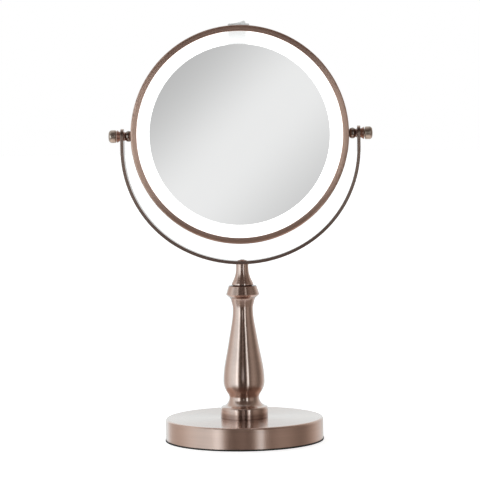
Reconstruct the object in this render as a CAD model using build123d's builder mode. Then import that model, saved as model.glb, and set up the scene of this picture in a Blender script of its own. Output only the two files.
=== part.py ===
"""Lighted two-sided vanity mirror: a round tilting head in a half-round yoke
on a turned column and a weighted round base.

Millimetres, +Z up.  The origin is the middle of the base's underside.  The
front of the mirror faces -Y, and the head tilts about the X direction at
PIVOT_Z.  Pieces that exist twice are made once, at the front or on the right,
and mirrored.
"""
import os
from math import asin, cos, radians, sin, sqrt

from build123d import *

os.makedirs("parts", exist_ok=True)

# ---- driving dimensions: stand ----------------------------------------------
BASE_R = 79.2
BASE_TOP = 22.4
BASE_WALL = 1.2
BASE_EDGE_R = 2.0
PAD_R = 79.6
PAD_T = 1.5
WEIGHT_T = 8.0
WEIGHT_BORE_R = 18.0
WASHER_OUT_R = 14.0
WASHER_T = 1.6
NUT_POINT_R = 7.5
NUT_T = 6.5
ROD_R = 4.0
ROD_LOW = 9.0
ROD_HIGH = 164.0
COLUMN_TOP = 155.0
COLUMN_WALL = 2.6
FOOT_R = 23.8
FOOT_TOP = 34.0
WAIST_R = 15.2
WAIST_Z = 42.5
BELLY_R = 20.9
BELLY_Z = 59.0
NECK_R = 10.25
NECK_Z = 132.0
COLLAR_R = 16.9
COLLAR_Z = 146.4
CONE_TOP_R = 6.25
CONE_LOW_R = 11.1
SEAM = 0.6
SPIGOT_STEP = 1.4
FOOT_EDGE_R = 2.4

# ---- driving dimensions: yoke -------------------------------------------------
PIVOT_Z = 306.0
YOKE_LOW_Z = 176.6
YOKE_R = 119.8
YOKE_SIDE_R = 114.0
YOKE_BOTTOM_SPAN = 60.0
YOKE_T = 3.3
YOKE_W = 15.0
YOKE_EDGE_R = 0.6
SCREW_R = 2.0
SCREW_HEAD_R = 4.75
SCREW_HEAD_H = 1.4
SCREW_SLOT = (4.4, 0.9, 1.0)

# ---- driving dimensions: head -------------------------------------------------
HEAD_R = 108.5
HEAD_HALF = 17.0
BAND_HALF = 9.0
BAND_T = 3.0
SPIGOT_T = 1.1
SPIGOT_HALF = 12.5
BEZEL_IN_R = 102.4
BEZEL_T = 1.6
BEZEL_CORNER_R = 2.0
BEZEL_LIP_R = 0.5
FACE_RISE = 0.12
SHELL_GAP = 0.2
WEB_HALF = 1.0
GLASS_R = 89.9
GLASS_T = 3.0
GLASS_Y = 16.0
GLASS_BEVEL = 0.3
MAGNIFIER_R = 600.0
TAPE_IN_R = 86.0
TAPE_OUT_R = 89.5
DIFFUSER_T = 1.5
DIFFUSER_CROWN = 1.0
DIFFUSER_IN_R = 90.1
DIFFUSER_OUT_R = 105.2
LEDGE_IN_R = 85.5
LEDGE_Y = 12.4
LEDGE_T = 1.4
SKIRT_T = 1.3
BOARD_IN_R = 92.8
BOARD_OUT_R = 102.2
BOARD_T = 1.2
LED_RING_R = 97.5
LED_COUNT = 24
LED_SIZE = (3.5, 2.8, 0.9)
CHANNEL_OUT_R = 103.2
CHANNEL_T = 0.7

# ---- driving dimensions: battery compartment ----------------------------------
CELL_R = 7.1
CELL_L = 49.0
NUB_R = 2.7
NUB_L = 1.2
CELL_PITCH = 15.0
CELL_COUNT = 4
CELL_Y = -3.3
TRAY_X = 32.5
TRAY_Z = 29.7
TRAY_WALL = 1.5
TRAY_FRONT = -12.0
TRAY_REAR = 4.2
TRAY_EAR = 8.5
SCREW_AT = (37.0, 24.0)
BOSS_R = 3.2
BOSS_L = 5.0
BOSS_BORE_R = 1.25
TRAY_SCREW_R = 1.2
TRAY_SCREW_HEAD_R = 2.4
TRAY_SCREW_L = 7.0
EAR_T = 1.6
PLATE_T = 0.4
PLATE_W = 10.0
SPRING_WIRE_R = 0.35
SPRING_COIL_R = 3.2
SPRING_TURNS = 3.5
COVER_GAP = 0.1
COVER_T = 1.2

# ---- driving dimensions: pivots and knobs ---------------------------------------
STUD_R = 2.5
STUD_HEAD_R = 5.0
STUD_HEAD_T = 1.6
STUD_END = 130.0
RUNNING = 0.06
BEAD_R = 5.5
BEAD_END_R = 3.6
BEAD_HIGH = 115.0
KNOB_R = 6.4
KNOB_END = 132.0
WASHER_R = 4.4
FLANGE_R = 6.3
FLANGE_HIGH = 123.5
KNOB_EDGE_R = 3.2
CAP_RISE = 0.3
KNOB_NECK_R = 4.0
KNOB_NECK_L = 0.7

# ---- driving dimensions: switch -------------------------------------------------
SWITCH_SEAT = 108.0
SWITCH_FLANGE = (21.0, 15.0, 2.2)
SWITCH_BODY = (18.6, 12.6, 14.5)
SWITCH_WINDOW = (15.8, 11.0, 10.5)
ROCKER_R = 7.6
ROCKER_W = 10.4
ROCKER_TILT = 12.0
ROCKER_PIN_R = 1.2
ROCKER_HALF = 6.5
ROCKER_DIP = 0.7
TERMINAL_L = 6.5
NOTCH_X = 10.6
NOTCH_LOW = 74.5
NOTCH_H = 18.0
BOARD_LEAD_UP = 92.6
LEAD_R = 0.7
BOARD_LEAD_R = 0.5

# ---- frames that several pieces share -------------------------------------------
HEAD_SECTION = Plane.XY.offset(PIVOT_Z)
HEAD_AXIS = Axis((0, 0, PIVOT_Z), (0, 1, 0))
PIVOT_AXIS = Axis((0, 0, PIVOT_Z), (1, 0, 0))


def facing_front(y):
    """Plane at depth y in the head, seen from the front: X right, Z up."""
    return Plane(origin=(0, y, PIVOT_Z), x_dir=(1, 0, 0), z_dir=(0, -1, 0))


def across_pivot(x):
    """Plane square to the tilt axis at x, pointing outwards on the right."""
    return Plane(origin=(x, 0, PIVOT_Z), x_dir=(0, 1, 0), z_dir=(1, 0, 0))


def dome_middle(rim_r, rise):
    """Halfway point of a round dome: distance from its axis, and height over its rim."""
    sphere_r = (rim_r**2 + rise**2) / (2 * rise)
    half = asin(rim_r / sphere_r) / 2
    return sphere_r * sin(half), rise - sphere_r * (1 - cos(half))


# ---- base -----------------------------------------------------------------------
with BuildPart() as base_pad:
    with BuildSketch(Plane.XY):
        Circle(PAD_R)
    extrude(amount=PAD_T)

with BuildPart() as base_cover:
    with BuildSketch(Plane.XY.offset(PAD_T)):
        Circle(BASE_R)
    extrude(amount=BASE_TOP - PAD_T)
    fillet(base_cover.faces().sort_by(Axis.Z)[-1].edges(), radius=BASE_EDGE_R)
    offset(amount=-BASE_WALL, openings=base_cover.faces().sort_by(Axis.Z)[0])
    with Locations((0, 0, BASE_TOP)):
        Hole(ROD_R + RUNNING)

with BuildPart() as base_weight:
    with BuildSketch(Plane.XY.offset(PAD_T)):
        Circle(BASE_R - BASE_WALL - SHELL_GAP)
        Circle(WEIGHT_BORE_R, mode=Mode.SUBTRACT)
    extrude(amount=WEIGHT_T)
    chamfer(base_weight.edges().group_by(Axis.Z)[-1], length=1.0)

WASHER_TOP = BASE_TOP - BASE_WALL
with BuildPart() as base_washer:
    with BuildSketch(Plane.XY.offset(WASHER_TOP - WASHER_T)):
        Circle(WASHER_OUT_R)
        Circle(ROD_R + RUNNING, mode=Mode.SUBTRACT)
    extrude(amount=WASHER_T)

with BuildPart() as base_nut:
    with BuildSketch(Plane.XY.offset(WASHER_TOP - WASHER_T - NUT_T)):
        RegularPolygon(radius=NUT_POINT_R, side_count=6)
        Circle(ROD_R + RUNNING, mode=Mode.SUBTRACT)
    extrude(amount=NUT_T)
    chamfer(base_nut.edges().filter_by(GeomType.CIRCLE), length=0.4)

with BuildPart() as tie_rod:
    with BuildSketch(Plane.XY.offset(ROD_LOW)):
        Circle(ROD_R)
    extrude(amount=ROD_HIGH - ROD_LOW)
    chamfer(tie_rod.edges().filter_by(GeomType.CIRCLE), length=0.6)

# ---- turned column, foot ring at the bottom and collar at the top ------------------
with BuildPart() as column:
    with BuildSketch(Plane.XZ):
        with BuildLine():
            foot_side = Line((FOOT_R, BASE_TOP), (FOOT_R, FOOT_TOP - FOOT_EDGE_R))
            foot_edge = CenterArc((FOOT_R - FOOT_EDGE_R, FOOT_TOP - FOOT_EDGE_R), FOOT_EDGE_R, 0, 90)
            flare = Spline(
                foot_edge @ 1,
                (17.4, 36.9),
                (WAIST_R, WAIST_Z),
                tangents=[(-1, 0.25), (0, 1)],
            )
            shoulder = Spline(
                flare @ 1,
                (17.7, 48.5),
                (BELLY_R, BELLY_Z),
                tangents=[(0, 1), (0, 1)],
            )
            body = Spline(
                shoulder @ 1,
                (16.7, 89.5),
                (12.35, 113.5),
                (NECK_R, NECK_Z),
                tangents=[(0, 1), (0, 1)],
            )
            throat = Spline(body @ 1, (11.5, 138.5), (13.5, 143.3), tangents=[(0, 1), (1, 1)])
            bead = ThreePointArc(throat @ 1, (15.8, 145.0), (COLLAR_R, COLLAR_Z))
            collar = Line(bead @ 1, (14.3, COLUMN_TOP - 0.5))
            Polyline(
                collar @ 1,
                (13.8, COLUMN_TOP),
                (ROD_R + RUNNING, COLUMN_TOP),
                (ROD_R + RUNNING, 150.0),
                (NECK_R - COLUMN_WALL, 146.0),
                (NECK_R - COLUMN_WALL, 118.0),
                (BELLY_R - COLUMN_WALL - 1.5, 66.0),
                (BELLY_R - COLUMN_WALL - 1.5, 56.0),
                (WAIST_R - COLUMN_WALL, 46.0),
                (WAIST_R - COLUMN_WALL, 37.0),
                (FOOT_R - COLUMN_WALL, 29.0),
                (FOOT_R - COLUMN_WALL, BASE_TOP),
                foot_side @ 0,
            )
        make_face()
    revolve(axis=Axis.Z)

CONE_LOW = COLUMN_TOP + SEAM
CONE_TOP = YOKE_LOW_Z
with BuildPart() as neck_cone:
    with BuildSketch(Plane.XZ):
        with BuildLine():
            lip = Polyline(
                (CONE_LOW_R - SPIGOT_STEP, COLUMN_TOP),
                (CONE_LOW_R - SPIGOT_STEP, CONE_LOW),
                (CONE_LOW_R - 0.3, CONE_LOW),
            )
            lip_edge = Line(lip @ 1, (CONE_LOW_R, CONE_LOW + 0.4))
            rim = Line(lip_edge @ 1, (CONE_LOW_R - 0.15, CONE_LOW + 1.6))
            flank = Spline(
                rim @ 1,
                (8.9, 161.5),
                (7.25, 165.9),
                (CONE_TOP_R, CONE_TOP - 1.5),
                tangents=[(-0.35, 1), (0, 1)],
            )
            Polyline(
                flank @ 1,
                (CONE_TOP_R, CONE_TOP),
                (SCREW_R + RUNNING, CONE_TOP),
                (SCREW_R + RUNNING, ROD_HIGH + 1.0),
                (ROD_R + RUNNING, ROD_HIGH + 1.0),
                (ROD_R + RUNNING, COLUMN_TOP),
                lip @ 0,
            )
        make_face()
    revolve(axis=Axis.Z)

# ---- yoke ------------------------------------------------------------------------
# A flat bottom arc runs into two tighter side arcs, and these into the straight ends.
YOKE_IN_R = YOKE_R - YOKE_T
EYE_TOP = PIVOT_Z + YOKE_W / 2
SIDE_X = YOKE_R - YOKE_SIDE_R
SIDE_SPAN = 90 - YOKE_BOTTOM_SPAN / 2
BOTTOM_R = YOKE_SIDE_R + SIDE_X / sin(radians(YOKE_BOTTOM_SPAN / 2))
BOTTOM_MID_Z = YOKE_LOW_Z + BOTTOM_R
SIDE_Z = BOTTOM_MID_Z - (BOTTOM_R - YOKE_SIDE_R) * cos(radians(YOKE_BOTTOM_SPAN / 2))
with BuildPart() as yoke:
    with BuildSketch(Plane.XZ.offset(-YOKE_W / 2)):
        with BuildLine():
            for inset in (0, YOKE_T):
                CenterArc((-SIDE_X, SIDE_Z), YOKE_SIDE_R - inset, 180, SIDE_SPAN)
                CenterArc((0, BOTTOM_MID_Z), BOTTOM_R - inset, 180 + SIDE_SPAN, YOKE_BOTTOM_SPAN)
                CenterArc((SIDE_X, SIDE_Z), YOKE_SIDE_R - inset, -SIDE_SPAN, SIDE_SPAN)
            for side in (-1, 1):
                Polyline(
                    (side * YOKE_R, SIDE_Z),
                    (side * YOKE_R, EYE_TOP),
                    (side * YOKE_IN_R, EYE_TOP),
                    (side * YOKE_IN_R, SIDE_Z),
                )
        make_face()
    extrude(amount=YOKE_W)
    fillet(yoke.edges().filter_by(Axis.X).group_by(Axis.Z)[-1], radius=YOKE_W / 2 - 0.05)
    long_edges = yoke.faces().filter_by(Axis.Y).edges()
    fillet(long_edges, radius=YOKE_EDGE_R)
    with BuildSketch(across_pivot(-YOKE_R - 1)):
        Circle(STUD_R + RUNNING)
    extrude(amount=2 * YOKE_R + 2, mode=Mode.SUBTRACT)
    with BuildSketch(Plane.XY.offset(CONE_TOP - 1)):
        Circle(SCREW_R + RUNNING)
    extrude(amount=YOKE_T + 3, mode=Mode.SUBTRACT)

SCREW_SEAT = BOTTOM_MID_Z - sqrt((BOTTOM_R - YOKE_T) ** 2 - SCREW_HEAD_R**2)
with BuildPart() as yoke_screw:
    with BuildSketch(Plane.XZ):
        with BuildLine():
            shank = Polyline(
                (0, ROD_HIGH + 2.0),
                (SCREW_R, ROD_HIGH + 2.0),
                (SCREW_R, SCREW_SEAT),
                (SCREW_HEAD_R, SCREW_SEAT),
                (SCREW_HEAD_R, SCREW_SEAT + 0.3),
            )
            middle_r, middle_up = dome_middle(SCREW_HEAD_R, SCREW_HEAD_H - 0.3)
            dome = ThreePointArc(
                shank @ 1,
                (middle_r, SCREW_SEAT + 0.3 + middle_up),
                (0, SCREW_SEAT + SCREW_HEAD_H),
            )
            Line(dome @ 1, shank @ 0)
        make_face()
    revolve(axis=Axis.Z)
    with BuildSketch(Plane.XY.offset(SCREW_SEAT + SCREW_HEAD_H)):
        Rectangle(SCREW_SLOT[0], SCREW_SLOT[1])
        Rectangle(SCREW_SLOT[1], SCREW_SLOT[0])
    extrude(amount=-SCREW_SLOT[2], mode=Mode.SUBTRACT)

# ---- head: middle ring with its web --------------------------------------------------
BAND_IN_R = HEAD_R - BAND_T
STUD_LOW = BAND_IN_R - 0.3 - STUD_HEAD_T
with BuildPart() as drum:
    with BuildSketch(HEAD_SECTION):
        with Locations((BAND_IN_R + BAND_T / 2, 0)):
            Rectangle(BAND_T, 2 * BAND_HALF)
        with Locations((BAND_IN_R + SPIGOT_T / 2, 0)):
            Rectangle(SPIGOT_T, 2 * SPIGOT_HALF)
        with Locations(((BAND_IN_R + SPIGOT_T) / 2, 0)):
            Rectangle(BAND_IN_R + SPIGOT_T, 2 * WEB_HALF)
    revolve(axis=HEAD_AXIS)
    chamfer(drum.edges().filter_by(GeomType.CIRCLE).group_by(SortBy.RADIUS)[-1], length=0.3)
    with BuildSketch(facing_front(-WEB_HALF)):
        with GridLocations(2 * SCREW_AT[0], 2 * SCREW_AT[1], 2, 2):
            Circle(BOSS_R)
    extrude(amount=BOSS_L)
    with BuildSketch(facing_front(WEB_HALF)):
        with GridLocations(2 * SCREW_AT[0], 2 * SCREW_AT[1], 2, 2):
            Circle(BOSS_BORE_R)
    extrude(amount=BOSS_L + WEB_HALF, mode=Mode.SUBTRACT)
    with BuildSketch(facing_front(WEB_HALF)):
        Rectangle(2 * TRAY_X + 0.6, 2 * TRAY_Z + 0.6)
    extrude(amount=2 * WEB_HALF, mode=Mode.SUBTRACT)
    with BuildSketch(facing_front(WEB_HALF)):
        with Locations((0, (NOTCH_LOW + BAND_IN_R) / 2 - 0.1)):
            Rectangle(2 * NOTCH_X, BAND_IN_R - NOTCH_LOW - 0.2)
        with Locations((STUD_LOW + STUD_HEAD_T / 2, 0), (-STUD_LOW - STUD_HEAD_T / 2, 0)):
            Rectangle(STUD_HEAD_T + 1.0, 2 * STUD_HEAD_R + 1.0)
    extrude(amount=2 * WEB_HALF, mode=Mode.SUBTRACT)
    with BuildSketch(across_pivot(-HEAD_R - 1)):
        Circle(STUD_R + RUNNING)
    extrude(amount=BAND_T + 2, mode=Mode.SUBTRACT)
    with BuildSketch(across_pivot(BAND_IN_R - 1)):
        Circle(STUD_R + RUNNING)
    extrude(amount=BAND_T + 2, mode=Mode.SUBTRACT)
    with BuildSketch(Plane.XY.offset(PIVOT_Z + SWITCH_SEAT)):
        Rectangle(SWITCH_FLANGE[0] + 0.4, SWITCH_FLANGE[1] + 0.4)
    extrude(amount=3, mode=Mode.SUBTRACT)
    with BuildSketch(Plane.XY.offset(PIVOT_Z + BAND_IN_R - 2)):
        Rectangle(SWITCH_BODY[0] + 0.3, SWITCH_BODY[1] + 0.3)
    extrude(amount=8, mode=Mode.SUBTRACT)

# ---- head: bezels ------------------------------------------------------------------
BEZEL_WALL_R = BAND_IN_R + SPIGOT_T + SHELL_GAP
with BuildPart() as front_bezel:
    with BuildSketch(HEAD_SECTION):
        with BuildLine():
            back = Line((BEZEL_IN_R, BEZEL_T - HEAD_HALF), (BEZEL_IN_R, BEZEL_LIP_R - HEAD_HALF))
            lip_round = CenterArc(
                (BEZEL_IN_R + BEZEL_LIP_R, BEZEL_LIP_R - HEAD_HALF), BEZEL_LIP_R, 180, 90
            )
            corner = CenterArc(
                (HEAD_R - BEZEL_CORNER_R, BEZEL_CORNER_R - HEAD_HALF), BEZEL_CORNER_R, 270, 90
            )
            face_mid_r = (BEZEL_IN_R + BEZEL_LIP_R + HEAD_R - BEZEL_CORNER_R) / 2
            face = ThreePointArc(lip_round @ 1, (face_mid_r, -HEAD_HALF - FACE_RISE), corner @ 0)
            Polyline(
                corner @ 1,
                (HEAD_R, -BAND_HALF - SHELL_GAP),
                (BEZEL_WALL_R, -BAND_HALF - SHELL_GAP),
                (BEZEL_WALL_R, BEZEL_T - HEAD_HALF),
                back @ 0,
            )
        make_face()
    revolve(axis=HEAD_AXIS)

with BuildPart() as rear_bezel:
    mirror(front_bezel.part, about=Plane.XZ)

# ---- head: opal diffusers, each with the ledge that carries its glass -----------------
FACE_Y = HEAD_HALF - BEZEL_T - 0.1
with BuildPart() as front_diffuser:
    with BuildSketch(HEAD_SECTION):
        with BuildLine():
            crown = ThreePointArc(
                (DIFFUSER_IN_R, -FACE_Y),
                ((DIFFUSER_IN_R + BEZEL_IN_R) / 2, -FACE_Y - DIFFUSER_CROWN),
                (BEZEL_IN_R - 0.1, -FACE_Y),
            )
            Line(crown @ 1, (DIFFUSER_OUT_R, -FACE_Y))
            Line((DIFFUSER_OUT_R, -FACE_Y), (DIFFUSER_OUT_R, DIFFUSER_T - FACE_Y))
            Line((DIFFUSER_OUT_R, DIFFUSER_T - FACE_Y), (BEZEL_IN_R - 0.1, DIFFUSER_T - FACE_Y))
            under = ThreePointArc(
                (BEZEL_IN_R - 0.1, DIFFUSER_T - FACE_Y),
                ((DIFFUSER_IN_R + BEZEL_IN_R + SKIRT_T) / 2, DIFFUSER_T - FACE_Y - DIFFUSER_CROWN),
                (DIFFUSER_IN_R + SKIRT_T, DIFFUSER_T - FACE_Y),
            )
            Polyline(
                under @ 1,
                (DIFFUSER_IN_R + SKIRT_T, LEDGE_T - LEDGE_Y),
                (LEDGE_IN_R, LEDGE_T - LEDGE_Y),
                (LEDGE_IN_R, -LEDGE_Y),
                (DIFFUSER_IN_R, -LEDGE_Y),
                crown @ 0,
            )
        make_face()
    revolve(axis=HEAD_AXIS)

with BuildPart() as rear_diffuser:
    mirror(front_diffuser.part, about=Plane.XZ)

# ---- head: flat glass in front, concave magnifying glass behind ------------------------
with BuildPart() as front_mirror:
    with BuildSketch(facing_front(GLASS_T - GLASS_Y)):
        Circle(GLASS_R)
    extrude(amount=GLASS_T)
    chamfer(front_mirror.faces().sort_by(Axis.Y)[0].edges(), length=GLASS_BEVEL)

with BuildPart() as front_mirror_tape:
    with BuildSketch(facing_front(-LEDGE_Y)):
        Circle(TAPE_OUT_R)
        Circle(TAPE_IN_R, mode=Mode.SUBTRACT)
    extrude(amount=GLASS_Y - GLASS_T - LEDGE_Y)

REAR_EDGE_Y = GLASS_Y + 0.3


def dish(r, depth=0.0):
    """Y of the magnifying glass's hollow face at radius r, or that far behind it."""
    edge_sag = MAGNIFIER_R - sqrt(MAGNIFIER_R**2 - GLASS_R**2)
    sag = MAGNIFIER_R - sqrt(MAGNIFIER_R**2 - r**2)
    return REAR_EDGE_Y - edge_sag + sag - depth


with BuildPart() as rear_mirror:
    with BuildSketch(HEAD_SECTION):
        with BuildLine():
            hollow = ThreePointArc(
                (0, dish(0)),
                (GLASS_R / 2, dish(GLASS_R / 2)),
                (GLASS_R, dish(GLASS_R)),
            )
            rear_back = ThreePointArc(
                (0, dish(0, GLASS_T)),
                (GLASS_R / 2, dish(GLASS_R / 2, GLASS_T)),
                (GLASS_R, dish(GLASS_R, GLASS_T)),
            )
            Line(hollow @ 1, rear_back @ 1)
            Line(hollow @ 0, rear_back @ 0)
        make_face()
    revolve(axis=HEAD_AXIS)
    chamfer(rear_mirror.edges().group_by(Axis.Y)[-1], length=GLASS_BEVEL)

with BuildPart() as rear_mirror_tape:
    with BuildSketch(HEAD_SECTION):
        with BuildLine():
            Polyline(
                (TAPE_IN_R, LEDGE_Y),
                (TAPE_OUT_R, LEDGE_Y),
                (TAPE_OUT_R, dish(TAPE_OUT_R, GLASS_T) - 0.02),
                (TAPE_IN_R, dish(TAPE_IN_R, GLASS_T) - 0.02),
                close=True,
            )
        make_face()
    revolve(axis=HEAD_AXIS)

# ---- head: light channels --------------------------------------------------------------
CHANNEL_LOW = WEB_HALF + BOARD_T + 0.1
CHANNEL_HIGH = FACE_Y - DIFFUSER_T - 0.4
CHANNEL_IN_R = DIFFUSER_IN_R + SKIRT_T + 0.3


def lamp_spots():
    """Middles of the lamps, evenly spaced, with the switch between two of them."""
    return PolarLocations(LED_RING_R, LED_COUNT, start_angle=90 + 180 / LED_COUNT)


with BuildPart() as front_led_board:
    with BuildSketch(facing_front(-WEB_HALF)):
        Circle(BOARD_OUT_R)
        Circle(BOARD_IN_R, mode=Mode.SUBTRACT)
        with Locations((0, LED_RING_R)):
            Rectangle(2 * NOTCH_X, NOTCH_H, mode=Mode.SUBTRACT)
    extrude(amount=BOARD_T)

with BuildPart() as rear_led_board:
    mirror(front_led_board.part, about=Plane.XZ)

with BuildPart() as front_leds:
    with BuildSketch(facing_front(-WEB_HALF - BOARD_T)):
        with lamp_spots():
            Rectangle(LED_SIZE[1], LED_SIZE[0])
    extrude(amount=LED_SIZE[2])

with BuildPart() as rear_leds:
    mirror(front_leds.part, about=Plane.XZ)

with BuildPart() as front_reflector:
    with BuildSketch(HEAD_SECTION):
        with BuildLine():
            Polyline(
                (CHANNEL_IN_R, -CHANNEL_HIGH),
                (CHANNEL_IN_R, -CHANNEL_LOW),
                (CHANNEL_OUT_R, -CHANNEL_LOW),
                (CHANNEL_OUT_R, -CHANNEL_HIGH),
                (CHANNEL_OUT_R - CHANNEL_T, -CHANNEL_HIGH),
                (CHANNEL_OUT_R - CHANNEL_T, -CHANNEL_LOW - CHANNEL_T),
                (CHANNEL_IN_R + CHANNEL_T, -CHANNEL_LOW - CHANNEL_T),
                (CHANNEL_IN_R + CHANNEL_T, -CHANNEL_HIGH),
                close=True,
            )
        make_face()
    revolve(axis=HEAD_AXIS)
    with BuildSketch(facing_front(0)):
        with lamp_spots():
            Rectangle(LED_SIZE[1] + 0.8, LED_SIZE[0] + 0.8)
        with Locations((0, LED_RING_R)):
            Rectangle(2 * NOTCH_X, NOTCH_H)
    extrude(amount=HEAD_HALF, mode=Mode.SUBTRACT)

with BuildPart() as rear_reflector:
    mirror(front_reflector.part, about=Plane.XZ)

# ---- head: battery compartment ------------------------------------------------------------
with BuildPart() as battery_tray:
    with BuildSketch(facing_front(TRAY_REAR)):
        Rectangle(2 * TRAY_X, 2 * TRAY_Z)
    extrude(amount=TRAY_REAR - TRAY_FRONT)
    with BuildSketch(facing_front(TRAY_REAR)):
        Rectangle(2 * (TRAY_X - TRAY_WALL), 2 * (TRAY_Z - TRAY_WALL))
    extrude(amount=TRAY_REAR - TRAY_FRONT - TRAY_WALL + 0.3, mode=Mode.SUBTRACT)
    with BuildSketch(facing_front(TRAY_REAR - EAR_T)):
        with Locations((TRAY_X + TRAY_EAR / 2, 0), (-TRAY_X - TRAY_EAR / 2, 0)):
            Rectangle(TRAY_EAR, 2 * TRAY_Z)
        with GridLocations(2 * SCREW_AT[0], 2 * SCREW_AT[1], 2, 2):
            Circle(TRAY_SCREW_R + 0.15, mode=Mode.SUBTRACT)
    extrude(amount=EAR_T)
    fillet(battery_tray.edges().filter_by(Axis.Y).group_by(Axis.X)[0], radius=2)
    fillet(battery_tray.edges().filter_by(Axis.Y).group_by(Axis.X)[-1], radius=2)

CELL_SPOTS = [(i - (CELL_COUNT - 1) / 2) * CELL_PITCH for i in range(CELL_COUNT)]
NUB_END = TRAY_Z - TRAY_WALL - PLATE_T - 0.1
with BuildPart() as battery_cells:
    for i, x in enumerate(CELL_SPOTS):
        up = 1 if i % 2 else -1
        with BuildSketch(Plane.XY.offset(PIVOT_Z + up * (NUB_END - NUB_L))):
            with Locations((x, CELL_Y)):
                Circle(CELL_R)
        extrude(amount=-up * CELL_L)
        with BuildSketch(Plane.XY.offset(PIVOT_Z + up * (NUB_END - NUB_L))):
            with Locations((x, CELL_Y)):
                Circle(NUB_R)
        extrude(amount=up * NUB_L)
    fillet(battery_cells.edges().filter_by(GeomType.CIRCLE).group_by(SortBy.RADIUS)[-1], radius=0.8)

PLATE_Z = TRAY_Z - TRAY_WALL - PLATE_T
with BuildPart() as contact_plates:
    with BuildSketch(Plane.XY.offset(PIVOT_Z + PLATE_Z)):
        with Locations((-CELL_PITCH, CELL_Y), (CELL_PITCH, CELL_Y)):
            Rectangle(2 * CELL_PITCH - 3, PLATE_W)
    extrude(amount=PLATE_T)
    with BuildSketch(Plane.XY.offset(PIVOT_Z - PLATE_Z - PLATE_T)):
        with Locations((0, CELL_Y)):
            Rectangle(2 * CELL_PITCH - 3, PLATE_W)
        with Locations((CELL_SPOTS[0], CELL_Y), (CELL_SPOTS[-1], CELL_Y)):
            Rectangle(CELL_PITCH - 3, PLATE_W)
    extrude(amount=PLATE_T)

SPRING_GAP = 2 * PLATE_Z - (PLATE_Z - NUB_END) - NUB_L - CELL_L
spring_coils = []
for i, x in enumerate(CELL_SPOTS):
    up = 1 if i % 2 else -1
    low = -PLATE_Z + SPRING_WIRE_R + 0.05
    if up < 0:
        low = PLATE_Z - SPRING_GAP + SPRING_WIRE_R + 0.05
    rise = SPRING_GAP - 2 * SPRING_WIRE_R - 0.1
    with BuildPart() as contact_spring:
        with BuildLine(Plane(origin=(x, CELL_Y, PIVOT_Z + low))):
            coil = Helix(pitch=rise / SPRING_TURNS, height=rise, radius=SPRING_COIL_R)
        with BuildSketch(Plane(origin=coil @ 0, z_dir=coil % 0)):
            Circle(SPRING_WIRE_R)
        sweep(path=coil, is_frenet=True)
    spring_coils.append(contact_spring.part)

with BuildPart() as contact_springs:
    add(spring_coils)

with BuildPart() as battery_cover:
    with BuildSketch(facing_front(TRAY_REAR + COVER_GAP + COVER_T)):
        RectangleRounded(2 * TRAY_X, 2 * TRAY_Z, 2)
    extrude(amount=COVER_T)
    with BuildSketch(facing_front(TRAY_REAR + COVER_GAP + COVER_T)):
        with Locations((0, -TRAY_Z + 7)):
            SlotOverall(16, 5)
    extrude(amount=COVER_T / 2, mode=Mode.SUBTRACT)

with BuildPart() as tray_screws:
    with BuildSketch(facing_front(TRAY_REAR - EAR_T)):
        with GridLocations(2 * SCREW_AT[0], 2 * SCREW_AT[1], 2, 2):
            Circle(TRAY_SCREW_R)
    extrude(amount=TRAY_SCREW_L)
    with BuildSketch(facing_front(TRAY_REAR)):
        with GridLocations(2 * SCREW_AT[0], 2 * SCREW_AT[1], 2, 2):
            Circle(TRAY_SCREW_HEAD_R)
    extrude(amount=EAR_T)

# ---- head: tilt pivots ----------------------------------------------------------------
with BuildPart() as right_pivot_stud:
    with BuildSketch(across_pivot(STUD_LOW)):
        Circle(STUD_HEAD_R)
    extrude(amount=STUD_HEAD_T)
    with BuildSketch(across_pivot(STUD_LOW)):
        Circle(STUD_R)
    extrude(amount=STUD_END - STUD_LOW)
    chamfer(right_pivot_stud.faces().sort_by(Axis.X)[-1].edges(), length=0.5)

BEAD_LOW = HEAD_R + 0.15
BEAD_MID = (BEAD_LOW + BEAD_HIGH) / 2
with BuildPart() as right_pivot_bead:
    with BuildSketch(HEAD_SECTION):
        with BuildLine():
            belly = ThreePointArc((BEAD_LOW, BEAD_END_R), (BEAD_MID, BEAD_R), (BEAD_HIGH, BEAD_END_R))
            Polyline(
                belly @ 1,
                (BEAD_HIGH, STUD_R + RUNNING),
                (BEAD_LOW, STUD_R + RUNNING),
                belly @ 0,
            )
        make_face()
    revolve(axis=PIVOT_AXIS)

with BuildPart() as right_pivot_washer:
    with BuildSketch(across_pivot(BEAD_HIGH + 0.05)):
        Circle(WASHER_R)
        Circle(STUD_R + RUNNING, mode=Mode.SUBTRACT)
    extrude(amount=YOKE_IN_R - 0.1 - BEAD_HIGH - 0.05)
    washer_rims = right_pivot_washer.edges().filter_by(GeomType.CIRCLE).group_by(SortBy.RADIUS)[-1]
    chamfer(washer_rims, length=0.25)

# ---- clamp knobs, each with the flanged washer that it pushes ----------------------------
FLANGE_LOW = YOKE_R + 0.08
with BuildPart() as right_knob_washer:
    with BuildSketch(HEAD_SECTION):
        with BuildLine():
            Polyline(
                (FLANGE_LOW, STUD_R + RUNNING),
                (FLANGE_LOW, 4.4),
                (FLANGE_LOW + 0.9, 4.8),
                (FLANGE_HIGH - 0.6, FLANGE_R - 0.2),
                (FLANGE_HIGH - 0.3, FLANGE_R),
                (FLANGE_HIGH, FLANGE_R - 0.2),
                (FLANGE_HIGH, STUD_R + RUNNING),
                close=True,
            )
        make_face()
    revolve(axis=PIVOT_AXIS)

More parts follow.
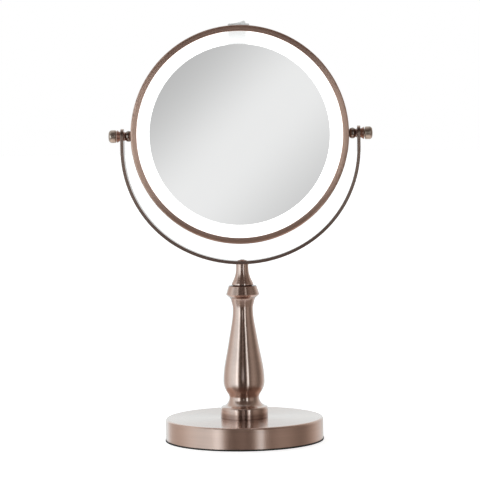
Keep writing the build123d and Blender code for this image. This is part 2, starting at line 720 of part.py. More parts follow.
KNOB_LOW = FLANGE_HIGH + 0.06
KNOB_HEEL = KNOB_LOW + KNOB_NECK_L
CAP_R = KNOB_R - KNOB_EDGE_R
with BuildPart() as right_knob:
    with BuildSketch(HEAD_SECTION):
        with BuildLine():
            stem = Polyline(
                (KNOB_LOW, STUD_R + RUNNING),
                (KNOB_LOW, KNOB_NECK_R),
                (KNOB_HEEL, KNOB_NECK_R),
            )
            heel = Line(stem @ 1, (KNOB_HEEL, KNOB_R - 1.0))
            heel_round = ThreePointArc(heel @ 1, (KNOB_HEEL + 0.3, KNOB_R - 0.3), (KNOB_HEEL + 1.0, KNOB_R))
            barrel = Line(heel_round @ 1, (KNOB_END - CAP_RISE - KNOB_EDGE_R, KNOB_R))
            cap_edge = TangentArc(barrel @ 1, (KNOB_END - CAP_RISE, CAP_R), tangent=barrel % 1)
            middle_r, middle_out = dome_middle(CAP_R, CAP_RISE)
            cap = ThreePointArc(
                cap_edge @ 1, (KNOB_END - CAP_RISE + middle_out, middle_r), (KNOB_END, 0)
            )
            Polyline(
                cap @ 1,
                (STUD_END + 0.6, 0),
                (STUD_END + 0.6, STUD_R + RUNNING),
                stem @ 0,
            )
        make_face()
    revolve(axis=PIVOT_AXIS)

with BuildPart() as left_pivot_stud:
    mirror(right_pivot_stud.part, about=Plane.YZ)

with BuildPart() as left_pivot_bead:
    mirror(right_pivot_bead.part, about=Plane.YZ)

with BuildPart() as left_pivot_washer:
    mirror(right_pivot_washer.part, about=Plane.YZ)

with BuildPart() as left_knob_washer:
    mirror(right_knob_washer.part, about=Plane.YZ)

with BuildPart() as left_knob:
    mirror(right_knob.part, about=Plane.YZ)

# ---- rocker switch on top of the head -------------------------------------------------------
FLANGE_TOP = PIVOT_Z + SWITCH_SEAT + SWITCH_FLANGE[2]
ROCKER_Z = FLANGE_TOP - 2.2
with BuildPart() as switch_housing:
    with BuildSketch(Plane.XY.offset(PIVOT_Z + SWITCH_SEAT)):
        RectangleRounded(SWITCH_FLANGE[0], SWITCH_FLANGE[1], 1.5)
    extrude(amount=SWITCH_FLANGE[2])
    chamfer(switch_housing.faces().sort_by(Axis.Z)[-1].edges(), length=0.6)
    with BuildSketch(Plane.XY.offset(PIVOT_Z + SWITCH_SEAT)):
        Rectangle(SWITCH_BODY[0], SWITCH_BODY[1])
    extrude(amount=-SWITCH_BODY[2])
    with BuildSketch(Plane.XY.offset(FLANGE_TOP)):
        Rectangle(SWITCH_WINDOW[0], SWITCH_WINDOW[1])
    extrude(amount=-SWITCH_WINDOW[2], mode=Mode.SUBTRACT)
    with BuildSketch(Plane.XZ.offset(-SWITCH_BODY[1] / 2 + 0.3)):
        with Locations((0, ROCKER_Z)):
            Circle(ROCKER_PIN_R + RUNNING)
    extrude(amount=SWITCH_BODY[1] - 0.6, mode=Mode.SUBTRACT)

with BuildPart() as switch_terminals:
    with BuildSketch(Plane.XY.offset(PIVOT_Z + SWITCH_SEAT - SWITCH_BODY[2])):
        with Locations((-5, 0), (0, 0), (5, 0)):
            Rectangle(0.8, 4.6)
    extrude(amount=-TERMINAL_L)

tilted = Plane(
    origin=(0, 0, ROCKER_Z),
    x_dir=(cos(radians(ROCKER_TILT)), 0, sin(radians(ROCKER_TILT))),
    z_dir=(0, -1, 0),
)
ROCKER_RISE = sqrt(ROCKER_R**2 - ROCKER_HALF**2)
with BuildPart() as switch_rocker:
    with BuildSketch(tilted.offset(-ROCKER_W / 2)):
        with BuildLine():
            top = ThreePointArc(
                (-ROCKER_HALF, ROCKER_RISE),
                (0, ROCKER_RISE - ROCKER_DIP),
                (ROCKER_HALF, ROCKER_RISE),
            )
            right_end = ThreePointArc(top @ 1, (ROCKER_R, 0), (ROCKER_HALF, -ROCKER_RISE))
            left_end = ThreePointArc(top @ 0, (-ROCKER_R, 0), (-ROCKER_HALF, -ROCKER_RISE))
            Polyline(right_end @ 1, (2.2, -5.2), (-2.2, -5.2), left_end @ 1)
        make_face()
    extrude(amount=ROCKER_W)
    chamfer(switch_rocker.faces().sort_by(Axis.Z)[-1].edges(), length=0.4)
    with BuildSketch(Plane.XZ.offset(-SWITCH_BODY[1] / 2 + 0.5)):
        with Locations((0, ROCKER_Z)):
            Circle(ROCKER_PIN_R)
    extrude(amount=SWITCH_BODY[1] - 1.0)

# ---- leads inside the head -------------------------------------------------------------------
TERMINAL_END = PIVOT_Z + SWITCH_SEAT - SWITCH_BODY[2] - TERMINAL_L


def battery_lead(x, tray_x):
    """Route from the top wall of the battery tray up to a switch terminal."""
    start = PIVOT_Z + TRAY_Z
    route = [
        (tray_x, 2.6, start),
        (tray_x, 2.6, start + 14),
        ((x + tray_x) / 2, 3.2, start + 31),
        (x, 2.2, start + 44),
        (x, 0, TERMINAL_END - 5),
        (x, 0, TERMINAL_END),
    ]
    return FilletPolyline(*route, radius=8)


with BuildPart() as red_lead:
    with BuildLine():
        red_route = battery_lead(5, 14)
    with BuildSketch(Plane(origin=red_route @ 0, z_dir=red_route % 0)):
        Circle(LEAD_R)
    sweep(path=red_route)

with BuildPart() as black_lead:
    with BuildLine():
        black_route = battery_lead(-5, -12)
    with BuildSketch(Plane(origin=black_route @ 0, z_dir=black_route % 0)):
        Circle(LEAD_R)
    sweep(path=black_route)

BOARD_MID = WEB_HALF + BOARD_T / 2
board_lead_tubes = []
for sign in (-1, 1):
    with BuildPart() as board_lead:
        with BuildLine():
            board_route = FilletPolyline(
                (sign * 5.4, -BOARD_MID, TERMINAL_END + 2.5),
                (sign * 8.2, -BOARD_MID, TERMINAL_END + 2.5),
                (sign * 8.2, -BOARD_MID, PIVOT_Z + BOARD_LEAD_UP),
                (sign * NOTCH_X, -BOARD_MID, PIVOT_Z + BOARD_LEAD_UP),
                radius=1.1,
            )
        with BuildSketch(Plane(origin=board_route @ 0, z_dir=board_route % 0)):
            Circle(BOARD_LEAD_R)
        sweep(path=board_route)
    board_lead_tubes.append(board_lead.part)

with BuildPart() as front_board_leads:
    add(board_lead_tubes)

with BuildPart() as rear_board_leads:
    mirror(front_board_leads.part, about=Plane.XZ)

# ---- one file for each node ---------------------------------------------------------------------
pieces = {
    "base_pad": base_pad,
    "base_cover": base_cover,
    "base_weight": base_weight,
    "base_washer": base_washer,
    "base_nut": base_nut,
    "tie_rod": tie_rod,
    "column": column,
    "neck_cone": neck_cone,
    "yoke": yoke,
    "yoke_screw": yoke_screw,
    "drum": drum,
    "front_bezel": front_bezel,
    "rear_bezel": rear_bezel,
    "front_diffuser": front_diffuser,
    "rear_diffuser": rear_diffuser,
    "front_mirror": front_mirror,
    "rear_mirror": rear_mirror,
    "front_mirror_tape": front_mirror_tape,
    "rear_mirror_tape": rear_mirror_tape,
    "front_led_board": front_led_board,
    "rear_led_board": rear_led_board,
    "front_leds": front_leds,
    "rear_leds": rear_leds,
    "front_reflector": front_reflector,
    "rear_reflector": rear_reflector,
    "battery_tray": battery_tray,
    "battery_cells": battery_cells,
    "contact_plates": contact_plates,
    "contact_springs": contact_springs,
    "battery_cover": battery_cover,
    "tray_screws": tray_screws,
    "red_lead": red_lead,
    "black_lead": black_lead,
    "front_board_leads": front_board_leads,
    "rear_board_leads": rear_board_leads,
    "left_pivot_stud": left_pivot_stud,
    "right_pivot_stud": right_pivot_stud,
    "left_pivot_bead": left_pivot_bead,
    "right_pivot_bead": right_pivot_bead,
    "left_pivot_washer": left_pivot_washer,
    "right_pivot_washer": right_pivot_washer,
    "left_knob_washer": left_knob_washer,
    "right_knob_washer": right_knob_washer,
    "left_knob": left_knob,
    "right_knob": right_knob,
    "switch_housing": switch_housing,
    "switch_terminals": switch_terminals,
    "switch_rocker": switch_rocker,
}
for name, piece in pieces.items():
    piece.part.label = name
    export_step(piece.part, f"parts/{name}.step")
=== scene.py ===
"""Looks of a lighted two-sided vanity mirror: satin copper-bronze stand and rims,
opal light rings, silvered glass, polished pivots and a grey rocker switch.
"""
import math

import bpy
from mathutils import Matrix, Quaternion, Vector


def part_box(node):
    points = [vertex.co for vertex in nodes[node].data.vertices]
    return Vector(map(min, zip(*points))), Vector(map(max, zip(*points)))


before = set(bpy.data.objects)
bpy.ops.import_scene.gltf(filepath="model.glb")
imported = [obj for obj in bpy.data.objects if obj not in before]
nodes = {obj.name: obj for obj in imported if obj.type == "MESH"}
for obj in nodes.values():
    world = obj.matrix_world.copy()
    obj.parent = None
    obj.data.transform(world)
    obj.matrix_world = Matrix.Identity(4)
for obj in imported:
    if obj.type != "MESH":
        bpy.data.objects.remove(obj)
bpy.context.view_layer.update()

# ---- places read from the frame ---------------------------------------------------
bezel_low, bezel_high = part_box("front_bezel")
bezel_middle = (bezel_low + bezel_high) / 2
HEAD_CENTRE = Vector((bezel_middle.x, 0.0, bezel_middle.z))
yoke_low, yoke_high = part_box("yoke")
YOKE_R = (yoke_high.x - yoke_low.x) / 2
YOKE_CENTRE = Vector((0.0, 0.0, yoke_low.z + YOKE_R))
STAND_CENTRE = Vector((0.0, 0.0, 0.0))
MM = 0.001


# ---- node helpers ------------------------------------------------------------------
class Tree:
    """A short way to add and link shader nodes."""

    def __init__(self, owner):
        owner.use_nodes = True
        self.tree = owner.node_tree
        self.tree.nodes.clear()

    def add(self, kind, sockets=None, **settings):
        made = self.tree.nodes.new(kind)
        for key, value in settings.items():
            setattr(made, key, value)
        for key, value in (sockets or {}).items():
            self.feed(made.inputs[key], value)
        return made

    def feed(self, socket, value):
        if isinstance(value, bpy.types.NodeSocket):
            self.tree.links.new(value, socket)
        else:
            socket.default_value = value

    def math(self, operation, a, b=0.0, c=0.0):
        return self.add("ShaderNodeMath", {0: a, 1: b, 2: c}, operation=operation).outputs[0]

    def vector(self, operation, a, b=(0, 0, 0)):
        made = self.add("ShaderNodeVectorMath", {0: a, 1: b}, operation=operation)
        return made.outputs[0]

    def scale(self, vector, factor):
        made = self.add("ShaderNodeVectorMath", {0: vector, "Scale": factor}, operation="SCALE")
        return made.outputs[0]

    def smooth(self, value, low, high, to_low=0.0, to_high=1.0):
        sockets = {"Value": value, "From Min": low, "From Max": high, "To Min": to_low, "To Max": to_high}
        made = self.add("ShaderNodeMapRange", sockets, interpolation_type="SMOOTHSTEP")
        return made.outputs["Result"]

    def mix(self, share, a, b):
        made = self.add("ShaderNodeMix", data_type="RGBA")
        self.feed(made.inputs["Factor"], share)
        self.feed(made.inputs["A"], a)
        self.feed(made.inputs["B"], b)
        return made.outputs["Result"]

    def noise(self, vector, scale, detail=2.0, roughness=0.5, w=None):
        sockets = {"Vector": vector, "Scale": scale, "Detail": detail, "Roughness": roughness}
        if w is not None:
            sockets["W"] = w
        made = self.add("ShaderNodeTexNoise", sockets, noise_dimensions="4D" if w is not None else "3D")
        return made.outputs["Fac"]

    def object_point(self):
        return self.add("ShaderNodeTexCoord").outputs["Object"]

    def bump(self, height, distance, strength=1.0):
        made = self.add("ShaderNodeBump", {"Height": height, "Distance": distance, "Strength": strength})
        return made.outputs["Normal"]

    def finish(self, shader):
        self.add("ShaderNodeOutputMaterial", {"Surface": shader})


def principled(tree, **sockets):
    """A Principled shader; socket names are written with underscores for spaces."""
    named = {key.replace("_", " "): value for key, value in sockets.items()}
    return tree.add("ShaderNodeBsdfPrincipled", named).outputs[0]


def turning(tree, axis, centre):
    """Parts of a point about an axis: unit vector around it, distance from it, place along it."""
    moved = tree.vector("SUBTRACT", tree.object_point(), tuple(centre))
    split = tree.add("ShaderNodeSeparateXYZ", {0: moved})
    order = {"X": (1, 2, 0), "Y": (0, 2, 1), "Z": (0, 1, 2)}[axis]
    u, v, along = (split.outputs[i] for i in order)
    radius = tree.math("SQRT", tree.math("ADD", tree.math("MULTIPLY", u, u), tree.math("MULTIPLY", v, v)))
    safe = tree.math("MAXIMUM", radius, 1e-5)
    return tree.math("DIVIDE", u, safe), tree.math("DIVIDE", v, safe), radius, along, moved


def lathe_grain(tree, axis, centre, line_width, run=1.4):
    """Noise drawn out round an axis, as brushing on a lathe leaves it."""
    cos_a, sin_a, radius, along, _moved = turning(tree, axis, centre)
    fine = 1 / line_width
    stretched = {
        0: tree.math("MULTIPLY", cos_a, run),
        1: tree.math("MULTIPLY", sin_a, run),
        2: tree.math("MULTIPLY", along, fine),
    }
    around = tree.add("ShaderNodeCombineXYZ", stretched).outputs[0]
    return tree.noise(around, 1.0, detail=3.0, roughness=0.6, w=tree.math("MULTIPLY", radius, fine))


def lathe_tangent(tree, axis, centre):
    """Direction round an axis, in world space, for the stretched highlights of brushed metal."""
    _c, _s, _r, _a, moved = turning(tree, axis, centre)
    direction = {"X": (1, 0, 0), "Y": (0, 1, 0), "Z": (0, 0, 1)}[axis]
    around = tree.vector("CROSS_PRODUCT", direction, moved)
    sockets = {"Vector": around}
    turned = tree.add(
        "ShaderNodeVectorTransform", sockets, vector_type="VECTOR", convert_from="OBJECT", convert_to="WORLD"
    )
    return tree.vector("NORMALIZE", turned.outputs[0])


# ---- materials -----------------------------------------------------------------------
BRONZE = (0.62, 0.402, 0.318)
RIM_BRONZE = (0.65, 0.40, 0.305)
BASE_BRONZE = (0.65, 0.415, 0.325)
# Colour of the painted shade in the gaps between turned parts and round the column's foot.
PAINTED_JOINT_SHADE = (0.09, 0.03, 0.02, 1)
WHITE = (1, 1, 1, 1)
LACQUER_ROUGHNESS = 0.14
SIDE_LACQUER = 0.6
TOP_LACQUER = 0.86
TOP_ROUGHNESS = 0.22


def shade_of(colour, share):
    """The same colour, darker or lighter, with an alpha."""
    return tuple(share * c for c in colour) + (1,)


def height_in(tree):
    """Height of the shaded point over the table."""
    return tree.add("ShaderNodeSeparateXYZ", {0: tree.object_point()}).outputs["Z"]


def painted_shade_mask(tree, lines):
    """1 on narrow level lines where turned parts meet, for shade painted into the finish there, 0 elsewhere.
    """
    mask = 0.0
    for height, half_width, depth in lines:
        away = tree.math("ABSOLUTE", tree.math("SUBTRACT", height_in(tree), height))
        line = tree.smooth(away, 0.45 * half_width, half_width, depth, 0.0)
        mask = tree.math("MAXIMUM", line, mask)
    return mask


def brushed_bronze(
    name, axis, centre, roughness, anisotropy, tint=BRONZE, coat_ior=2.05, lines=(), painted_face_shade=None, top=None
):
    """Satin copper-bronze plating, brushed round an axis, under a clear lacquer.

    lines are painted shade where parts meet and round the foot (height, half width,
    depth); painted_face_shade is the share of the tint kept on the faces that look to
    the front and the back, a painted shade for the dark room they reflect; top gives two heights
    between which the side's thin lacquer and coarse brushing turn into the top's.
    """
    material = bpy.data.materials.new(name)
    tree = Tree(material)
    hair = lathe_grain(tree, axis, centre, 0.35 * MM)
    bands = lathe_grain(tree, axis, centre, 3.0 * MM, run=0.9)
    cloud = tree.noise(tree.object_point(), 28.0, detail=3.0)
    tone = tree.math("ADD", tree.math("MULTIPLY", hair, 0.35), tree.math("MULTIPLY", bands, 0.35))
    tone = tree.math("ADD", tone, tree.math("MULTIPLY", cloud, 0.3))
    colour = tree.mix(tree.smooth(tone, 0.36, 0.64), shade_of(tint, 0.92), shade_of(tint, 1.04))
    # Painted shade: the faces that look to the front and the back keep only part of the tint, standing in
    # for the dark room they reflect.
    if painted_face_shade:
        normal = tree.add("ShaderNodeTexCoord").outputs["Normal"]
        facing = tree.math("ABSOLUTE", tree.add("ShaderNodeSeparateXYZ", {0: normal}).outputs["Y"])
        colour = tree.mix(tree.smooth(facing, 0.25, 0.75), colour, shade_of(tint, painted_face_shade))
    # Painted shade where the parts meet: darker colour and less lacquer on these lines.
    mask = painted_shade_mask(tree, lines)
    colour = tree.mix(mask, colour, PAINTED_JOINT_SHADE)
    lacquer = tree.smooth(height_in(tree), *top, SIDE_LACQUER, TOP_LACQUER) if top else 1.0
    lacquer = tree.math("MULTIPLY", lacquer, tree.math("SUBTRACT", 1.0, mask))
    satin = tree.smooth(height_in(tree), *top, roughness, TOP_ROUGHNESS) if top else roughness
    rough = tree.math("MULTIPLY_ADD", hair, 0.08, tree.math("SUBTRACT", satin, 0.04))
    rough = tree.math("MULTIPLY_ADD", cloud, 0.06, tree.math("SUBTRACT", rough, 0.03))
    shader = principled(
        tree,
        Base_Color=colour,
        Metallic=1.0,
        Roughness=rough,
        Anisotropic=anisotropy,
        Anisotropic_Rotation=0.25,
        Tangent=lathe_tangent(tree, axis, centre),
        Coat_Weight=lacquer,
        Coat_IOR=coat_ior,
        Coat_Roughness=LACQUER_ROUGHNESS,
        Normal=tree.bump(hair, 0.004 * MM, 0.5),
    )
    tree.finish(shader)
    return material


def polished_bronze(name, axis, centre, tint, roughness):
    """Darker, shinier antique bronze of the small turned pivot parts."""
    material = bpy.data.materials.new(name)
    tree = Tree(material)
    hair = lathe_grain(tree, axis, centre, 0.3 * MM)
    cloud = tree.noise(tree.object_point(), 220.0, detail=3.0)
    dark = tuple(0.62 * c for c in tint[:3]) + (1,)
    colour = tree.mix(tree.smooth(cloud, 0.3, 0.7), dark, tint)
    rough = tree.math("MULTIPLY_ADD", hair, 0.06, roughness - 0.03)
    shader = principled(
        tree, Base_Color=colour, Metallic=1.0, Roughness=rough, Normal=tree.bump(hair, 0.01 * MM, 0.5)
    )
    tree.finish(shader)
    return material


def plain_metal(name, tint, roughness):
    """Zinc-plated or cast hidden metal with a mottled grain."""
    material = bpy.data.materials.new(name)
    tree = Tree(material)
    point = tree.object_point()
    grain = tree.noise(point, 900.0, detail=4.0)
    cloud = tree.noise(point, 90.0, detail=2.0)
    dark = tuple(0.7 * c for c in tint[:3]) + (1,)
    colour = tree.mix(cloud, dark, tint)
    rough = tree.math("MULTIPLY_ADD", grain, 0.2, roughness - 0.1)
    shader = principled(
        tree, Base_Color=colour, Metallic=1.0, Roughness=rough, Normal=tree.bump(grain, 0.03 * MM, 0.5)
    )
    tree.finish(shader)
    return material


def moulded(name, tint, roughness, grain_size=0.4 * MM, depth=0.02 * MM, **extra):
    """Moulded plastic or rubber with a fine texture."""
    material = bpy.data.materials.new(name)
    tree = Tree(material)
    point = tree.object_point()
    grain = tree.noise(point, 1 / grain_size, detail=3.0)
    cloud = tree.noise(point, 60.0, detail=2.0)
    dark = tuple(0.88 * c for c in tint[:3]) + (1,)
    colour = tree.mix(cloud, dark, tint)
    rough = tree.math("MULTIPLY_ADD", grain, 0.16, roughness - 0.08)
    shader = principled(
        tree, Base_Color=colour, Roughness=rough, Normal=tree.bump(grain, depth, 0.6), **extra
    )
    tree.finish(shader)
    return material


# The switch keeps some light off the opal rings under it: the middle of that shade, its half
# width, its soft edge, its heights with the share at each, and what it takes from the light.
SHADE_X = -1 * MM
SHADE_CORE = 7.5 * MM
SHADE_EDGE = 13 * MM
SHADE_LOW = HEAD_CENTRE.z + 94 * MM
SHADE_HIGH = HEAD_CENTRE.z + 101 * MM
SHADE_SHARES = (0.83, 0.93)
SHADE_DEPTH = 0.50
UPPER_HALF = (HEAD_CENTRE.z, HEAD_CENTRE.z + 60 * MM)


def opal(name):
    """Opal ring lit from behind: nearly even, and a little weaker under the switch."""
    material = bpy.data.materials.new(name)
    tree = Tree(material)
    point = tree.object_point()
    lamps = tree.noise(point, 45.0, detail=1.0)
    split = tree.add("ShaderNodeSeparateXYZ", {0: point})
    from_switch = tree.math("ABSOLUTE", tree.math("SUBTRACT", split.outputs["X"], SHADE_X))
    across = tree.smooth(from_switch, SHADE_CORE, SHADE_EDGE, 1.0, 0.0)
    upward = tree.smooth(split.outputs["Z"], SHADE_LOW, SHADE_HIGH, *SHADE_SHARES)
    shade = tree.math("MULTIPLY", across, upward)
    shade = tree.math("MULTIPLY", shade, tree.smooth(split.outputs["Z"], *UPPER_HALF))
    level = tree.math("MULTIPLY_ADD", lamps, 0.06, 1.0)
    level = tree.math("SUBTRACT", level, tree.math("MULTIPLY", shade, SHADE_DEPTH))
    tint = tree.mix(lamps, (1.0, 0.995, 0.98, 1), (0.985, 0.995, 1.0, 1))
    frost = tree.noise(point, 1800.0, detail=2.0)
    shader = principled(
        tree,
        # Painted shadow: under the switch the base colour darkens too, not only the light from behind.
        Base_Color=tree.mix(shade, (0.93, 0.93, 0.92, 1), (0.42, 0.43, 0.43, 1)),
        Roughness=tree.math("MULTIPLY_ADD", frost, 0.14, 0.3),
        Normal=tree.bump(frost, 0.01 * MM, 0.4),
        Emission_Color=tint,
        Emission_Strength=level,
    )
    tree.finish(shader)
    return material


def silvered_glass(name):
    """Mirror glass: almost no scatter, and a trace of green in its tone."""
    material = bpy.data.materials.new(name)
    tree = Tree(material)
    point = tree.object_point()
    haze = tree.noise(point, 25.0, detail=3.0)
    colour = tree.mix(haze, (0.805, 0.811, 0.81, 1), (0.82, 0.823, 0.823, 1))
    rough = tree.math("MULTIPLY_ADD", haze, 0.008, 0.004)
    shader = principled(tree, Base_Color=colour, Metallic=1.0, Roughness=rough)
    tree.finish(shader)
    return material


def paint(material, *names):
    """Puts one material in every slot of these CAD nodes."""
    for name in names:
        mesh = nodes[name].data
        if not mesh.materials:
            mesh.materials.append(material)
        for i in range(len(mesh.materials)):
            mesh.materials[i] = material


# ---- which piece gets which finish --------------------------------------------------------
column_low, column_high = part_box("column")
base_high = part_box("base_cover")[1]
COLLAR_HEIGHT = 11.5 * MM
# Painted shade: a dark line where the column stands on the base with a wider soft one round its foot, one
# under the collar and one at the seam under the neck cone.
stand_shade_lines = (
    (column_low.z, 0.7 * MM, 0.8),
    (column_low.z, 7.0 * MM, 0.5),
    (column_high.z - COLLAR_HEIGHT, 1.3 * MM, 0.45),
    (column_high.z + 0.3 * MM, 0.9 * MM, 0.9),
)
stand_bronze = brushed_bronze("column_bronze", "Z", STAND_CENTRE, 0.24, 0.96, lines=stand_shade_lines)
paint(stand_bronze, "column", "neck_cone")
side_to_top = (base_high.z - 2 * MM, base_high.z - 0.1 * MM)
base_bronze = brushed_bronze("base_bronze", "Z", STAND_CENTRE, 0.40, 0.90, tint=BASE_BRONZE, top=side_to_top)
paint(base_bronze, "base_cover")
# The yoke's front and back faces get painted shade for the dark room they reflect.
yoke_bronze = brushed_bronze("yoke_bronze", "Y", YOKE_CENTRE, 0.26, 0.96, coat_ior=1.5, painted_face_shade=0.42)
paint(yoke_bronze, "yoke", "yoke_screw")
rims = brushed_bronze("head_bronze", "Y", HEAD_CENTRE, 0.38, 0.98, tint=RIM_BRONZE, coat_ior=1.5)
paint(rims, "front_bezel", "rear_bezel", "drum")
knobs = polished_bronze("knob_bronze", "X", HEAD_CENTRE, tint=(0.65, 0.51, 0.42, 1), roughness=0.36)
washers = polished_bronze("washer_bronze", "X", HEAD_CENTRE, tint=(0.56, 0.38, 0.32, 1), roughness=0.28)
beads = polished_bronze("bead_bronze", "X", HEAD_CENTRE, tint=(0.36, 0.28, 0.24, 1), roughness=0.07)
for side in ("left", "right"):
    paint(knobs, f"{side}_knob")
    paint(washers, f"{side}_pivot_washer", f"{side}_knob_washer")
    paint(beads, f"{side}_pivot_bead")
paint(opal("opal_ring"), "front_diffuser", "rear_diffuser")
paint(silvered_glass("silvered_glass"), "front_mirror", "rear_mirror")
paint(moulded("pad_foam", (0.02, 0.019, 0.018, 1), 0.8, 0.8 * MM, 0.1 * MM), "base_pad")
# Painted light: the switch plastic glows faintly, though it is no lamp.
switch_grey_painted_glow = moulded(
    "switch_grey_painted_glow", (0.93, 0.925, 0.91, 1), 0.4, Emission_Color=WHITE, Emission_Strength=0.12
)
paint(switch_grey_painted_glow, "switch_housing", "switch_rocker")
paint(moulded("white_plastic", (0.85, 0.85, 0.83, 1), 0.5), "front_reflector", "rear_reflector")
paint(moulded("black_plastic", (0.03, 0.03, 0.03, 1), 0.5), "battery_tray", "battery_cover")
paint(moulded("foam_tape", (0.7, 0.7, 0.68, 1), 0.9), "front_mirror_tape", "rear_mirror_tape")
paint(moulded("board_white", (0.75, 0.78, 0.76, 1), 0.4), "front_led_board", "rear_led_board")
paint(moulded("lamp_phosphor", (0.9, 0.75, 0.2, 1), 0.3), "front_leds", "rear_leds")
paint(moulded("cell_jacket", (0.05, 0.06, 0.08, 1), 0.3, Coat_Weight=0.5), "battery_cells")
paint(moulded("red_insulation", (0.4, 0.02, 0.015, 1), 0.45), "red_lead", "front_board_leads")
paint(moulded("black_insulation", (0.02, 0.02, 0.02, 1), 0.45), "black_lead", "rear_board_leads")
paint(plain_metal("cast_iron", (0.20, 0.20, 0.21, 1), 0.7), "base_weight")
steel_names = ["base_washer", "base_nut", "tie_rod", "tray_screws", "contact_plates", "contact_springs"]
steel_names += ["switch_terminals", "left_pivot_stud", "right_pivot_stud"]
paint(plain_metal("zinc_steel", (0.62, 0.62, 0.64, 1), 0.3), *steel_names)

# ---- floor, studio light and camera --------------------------------------------------------
FLOOR_R = 30.0
floor_mesh = bpy.data.meshes.new("floor")
corners = [(sx * FLOOR_R, sy * FLOOR_R, 0) for sx, sy in ((-1, -1), (1, -1), (1, 1), (-1, 1))]
floor_mesh.from_pydata(corners, [], [(0, 1, 2, 3)])
floor = bpy.data.objects.new("floor", floor_mesh)
bpy.context.scene.collection.objects.link(floor)
floor.visible_glossy = False
floor_material = bpy.data.materials.new("floor_white")
floor_tree = Tree(floor_material)
floor_tree.finish(
    principled(
        floor_tree,
        Base_Color=(0.9, 0.9, 0.9, 1),
        Roughness=0.9,
        Emission_Color=WHITE,
        Emission_Strength=0.7,
    )
)
floor_mesh.materials.append(floor_material)

world = bpy.data.worlds.new("studio")
bpy.context.scene.world = world
sky = Tree(world)
direction = sky.add("ShaderNodeTexCoord").outputs["Generated"]
aim = sky.add("ShaderNodeSeparateXYZ", {0: direction})
toward_x, toward_y, toward_z = aim.outputs
azimuth = sky.math("ARCTAN2", toward_x, sky.math("MULTIPLY", toward_y, -1.0))
degrees = sky.math("MULTIPLY", azimuth, 180 / math.pi)
from_front = sky.math("ABSOLUTE", degrees)

# The room by direction in degrees: 0 is the camera's side, 90 the right and -90 the left.
# The camera's side is dark, the walls at the sides are grey and the one at the back is white,
# a little brighter straight behind the mirror.
DARK_FRONT = 0.03
GREY_WALLS = 0.17
WHITE_BACK = 0.60
FAR_BACK = 0.10
walls = sky.smooth(from_front, 5, 35, DARK_FRONT, DARK_FRONT + GREY_WALLS)
level = sky.math("ADD", walls, sky.smooth(from_front, 95, 150, 0.0, WHITE_BACK))
level = sky.math("ADD", level, sky.smooth(from_front, 150, 180, 0.0, FAR_BACK))

# Soft-edged lamps: begins, full from, full to, ends, brightness.
LAMPS = (
    (-135, -85, -37, -23, 0.68),  # wide window on the left
    (-100, -40, -37, -23, 0.60),  # its nearer half
    (-48, -37, -37, -23, 0.85),  # its bright near edge
    (15, 27, 27, 33, 2.1),  # narrow strip on the right of the camera
    (38, 55, 58, 92, 0.2),  # faint panel on the right wall
    (-175, -150, -150, -132, 0.3),  # strip behind, on the left
)
for begins, full_from, full_to, ends, brightness in LAMPS:
    rise = sky.smooth(degrees, begins, full_from, 0.0, brightness)
    fall = sky.smooth(degrees, full_to, ends, 1.0, 0.0)
    level = sky.math("MULTIPLY_ADD", rise, fall, level)

# Walls look warm and lamps cool.
WARM = (1.09, 1.0, 0.91, 1)
COOL = (0.87, 1.03, 1.10, 1)
room = sky.scale(sky.mix(sky.smooth(level, 0.2, 1.3), WARM, COOL), level)

# Above and below the lamps the camera's side is dim; the ceiling is grey and the table pale.
DIM_FRONT = (0.12, 0.10, 0.09, 1)
CEILING = (0.45, 0.45, 0.45, 1)
TABLE = (0.95, 0.93, 0.91, 1)
off_level = sky.smooth(sky.math("ABSOLUTE", toward_z), 0.24, 0.55)
in_front = sky.smooth(toward_y, -0.05, -0.35)
room = sky.mix(sky.math("MULTIPLY", off_level, in_front), room, DIM_FRONT)
room = sky.mix(sky.smooth(toward_z, 0.90, 1.0), room, CEILING)
room = sky.mix(sky.smooth(toward_z, -0.50, -0.85), room, TABLE)

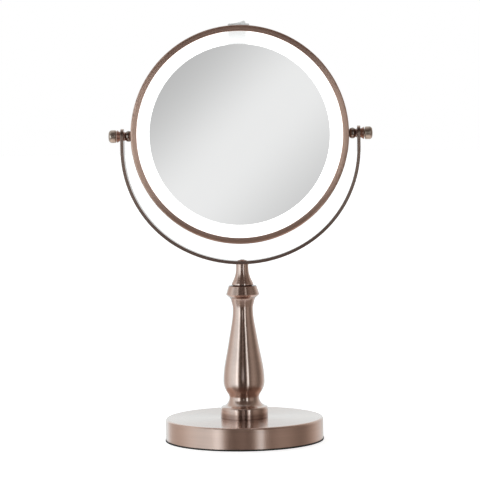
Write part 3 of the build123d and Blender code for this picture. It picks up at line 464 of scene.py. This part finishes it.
# A card by the camera, which the flat glass shows as its soft diagonal sheen.
CARD_X = -0.0435
CARD_HALF = 0.045
SHEEN_SHIFT = 0.15
SHEEN_BRIGHT = 1.01
SHEEN_RIGHT = 0.705
SHEEN_LEFT = 0.611
ahead = sky.math("MAXIMUM", sky.math("MULTIPLY", toward_y, -1.0), 0.001)
aside = sky.math("DIVIDE", toward_x, ahead)
above = sky.math("DIVIDE", toward_z, ahead)
card_x = sky.math("DIVIDE", sky.math("SUBTRACT", aside, CARD_X), CARD_HALF)
card_z = sky.math("DIVIDE", above, CARD_HALF)
across = sky.math("SUBTRACT", sky.math("SUBTRACT", card_x, card_z), SHEEN_SHIFT)
toward_right = sky.smooth(across, 0.1, 1.7, SHEEN_BRIGHT, SHEEN_RIGHT)
toward_left = sky.smooth(across, -0.1, -1.75, SHEEN_BRIGHT, SHEEN_LEFT)
sheen = sky.math("MINIMUM", toward_right, toward_left)
card = sky.math("MULTIPLY", sky.smooth(card_x, -3.2, -1.6), sky.smooth(card_x, 1.6, 3.4, 1.0, 0.0))
card = sky.math("MULTIPLY", card, sky.smooth(card_z, -1.5, -1.15))
card = sky.math("MULTIPLY", card, sky.smooth(card_z, 3.0, 5.5, 1.0, 0.0))
shine = sky.add("ShaderNodeCombineColor", {0: sheen, 1: sheen, 2: sheen}).outputs[0]
room = sky.mix(card, room, shine)

seen = sky.add("ShaderNodeLightPath").outputs["Is Camera Ray"]
studio = sky.add("ShaderNodeBackground", {"Color": room, "Strength": 1.0})
backdrop = sky.add("ShaderNodeBackground", {"Color": WHITE, "Strength": 1.0})
both = sky.add("ShaderNodeMixShader", {0: seen, 1: studio.outputs[0], 2: backdrop.outputs[0]})
sky.add("ShaderNodeOutputWorld", {"Surface": both.outputs[0]})

CAMERA_DISTANCE = 2.0
CAMERA_LENS = 150.0
CAMERA_SENSOR = 36.0
CAMERA_AZIMUTH = math.radians(2.5)
CAMERA_ROLL = math.radians(0.87)
AIM = Vector((-0.0018, 0.0, 0.2007))
camera_data = bpy.data.cameras.new("camera")
camera_data.lens = CAMERA_LENS
camera_data.sensor_width = CAMERA_SENSOR
camera = bpy.data.objects.new("camera", camera_data)
bpy.context.scene.collection.objects.link(camera)
camera.location = (
    CAMERA_DISTANCE * math.sin(CAMERA_AZIMUTH),
    -CAMERA_DISTANCE * math.cos(CAMERA_AZIMUTH),
    HEAD_CENTRE.z,
)
camera.rotation_mode = "QUATERNION"
look = (AIM - camera.location).to_track_quat("-Z", "Y")
camera.rotation_quaternion = look @ Quaternion((0, 0, 1), -CAMERA_ROLL)
bpy.context.scene.camera = camera
bpy.context.scene.view_settings.view_transform = "Standard"
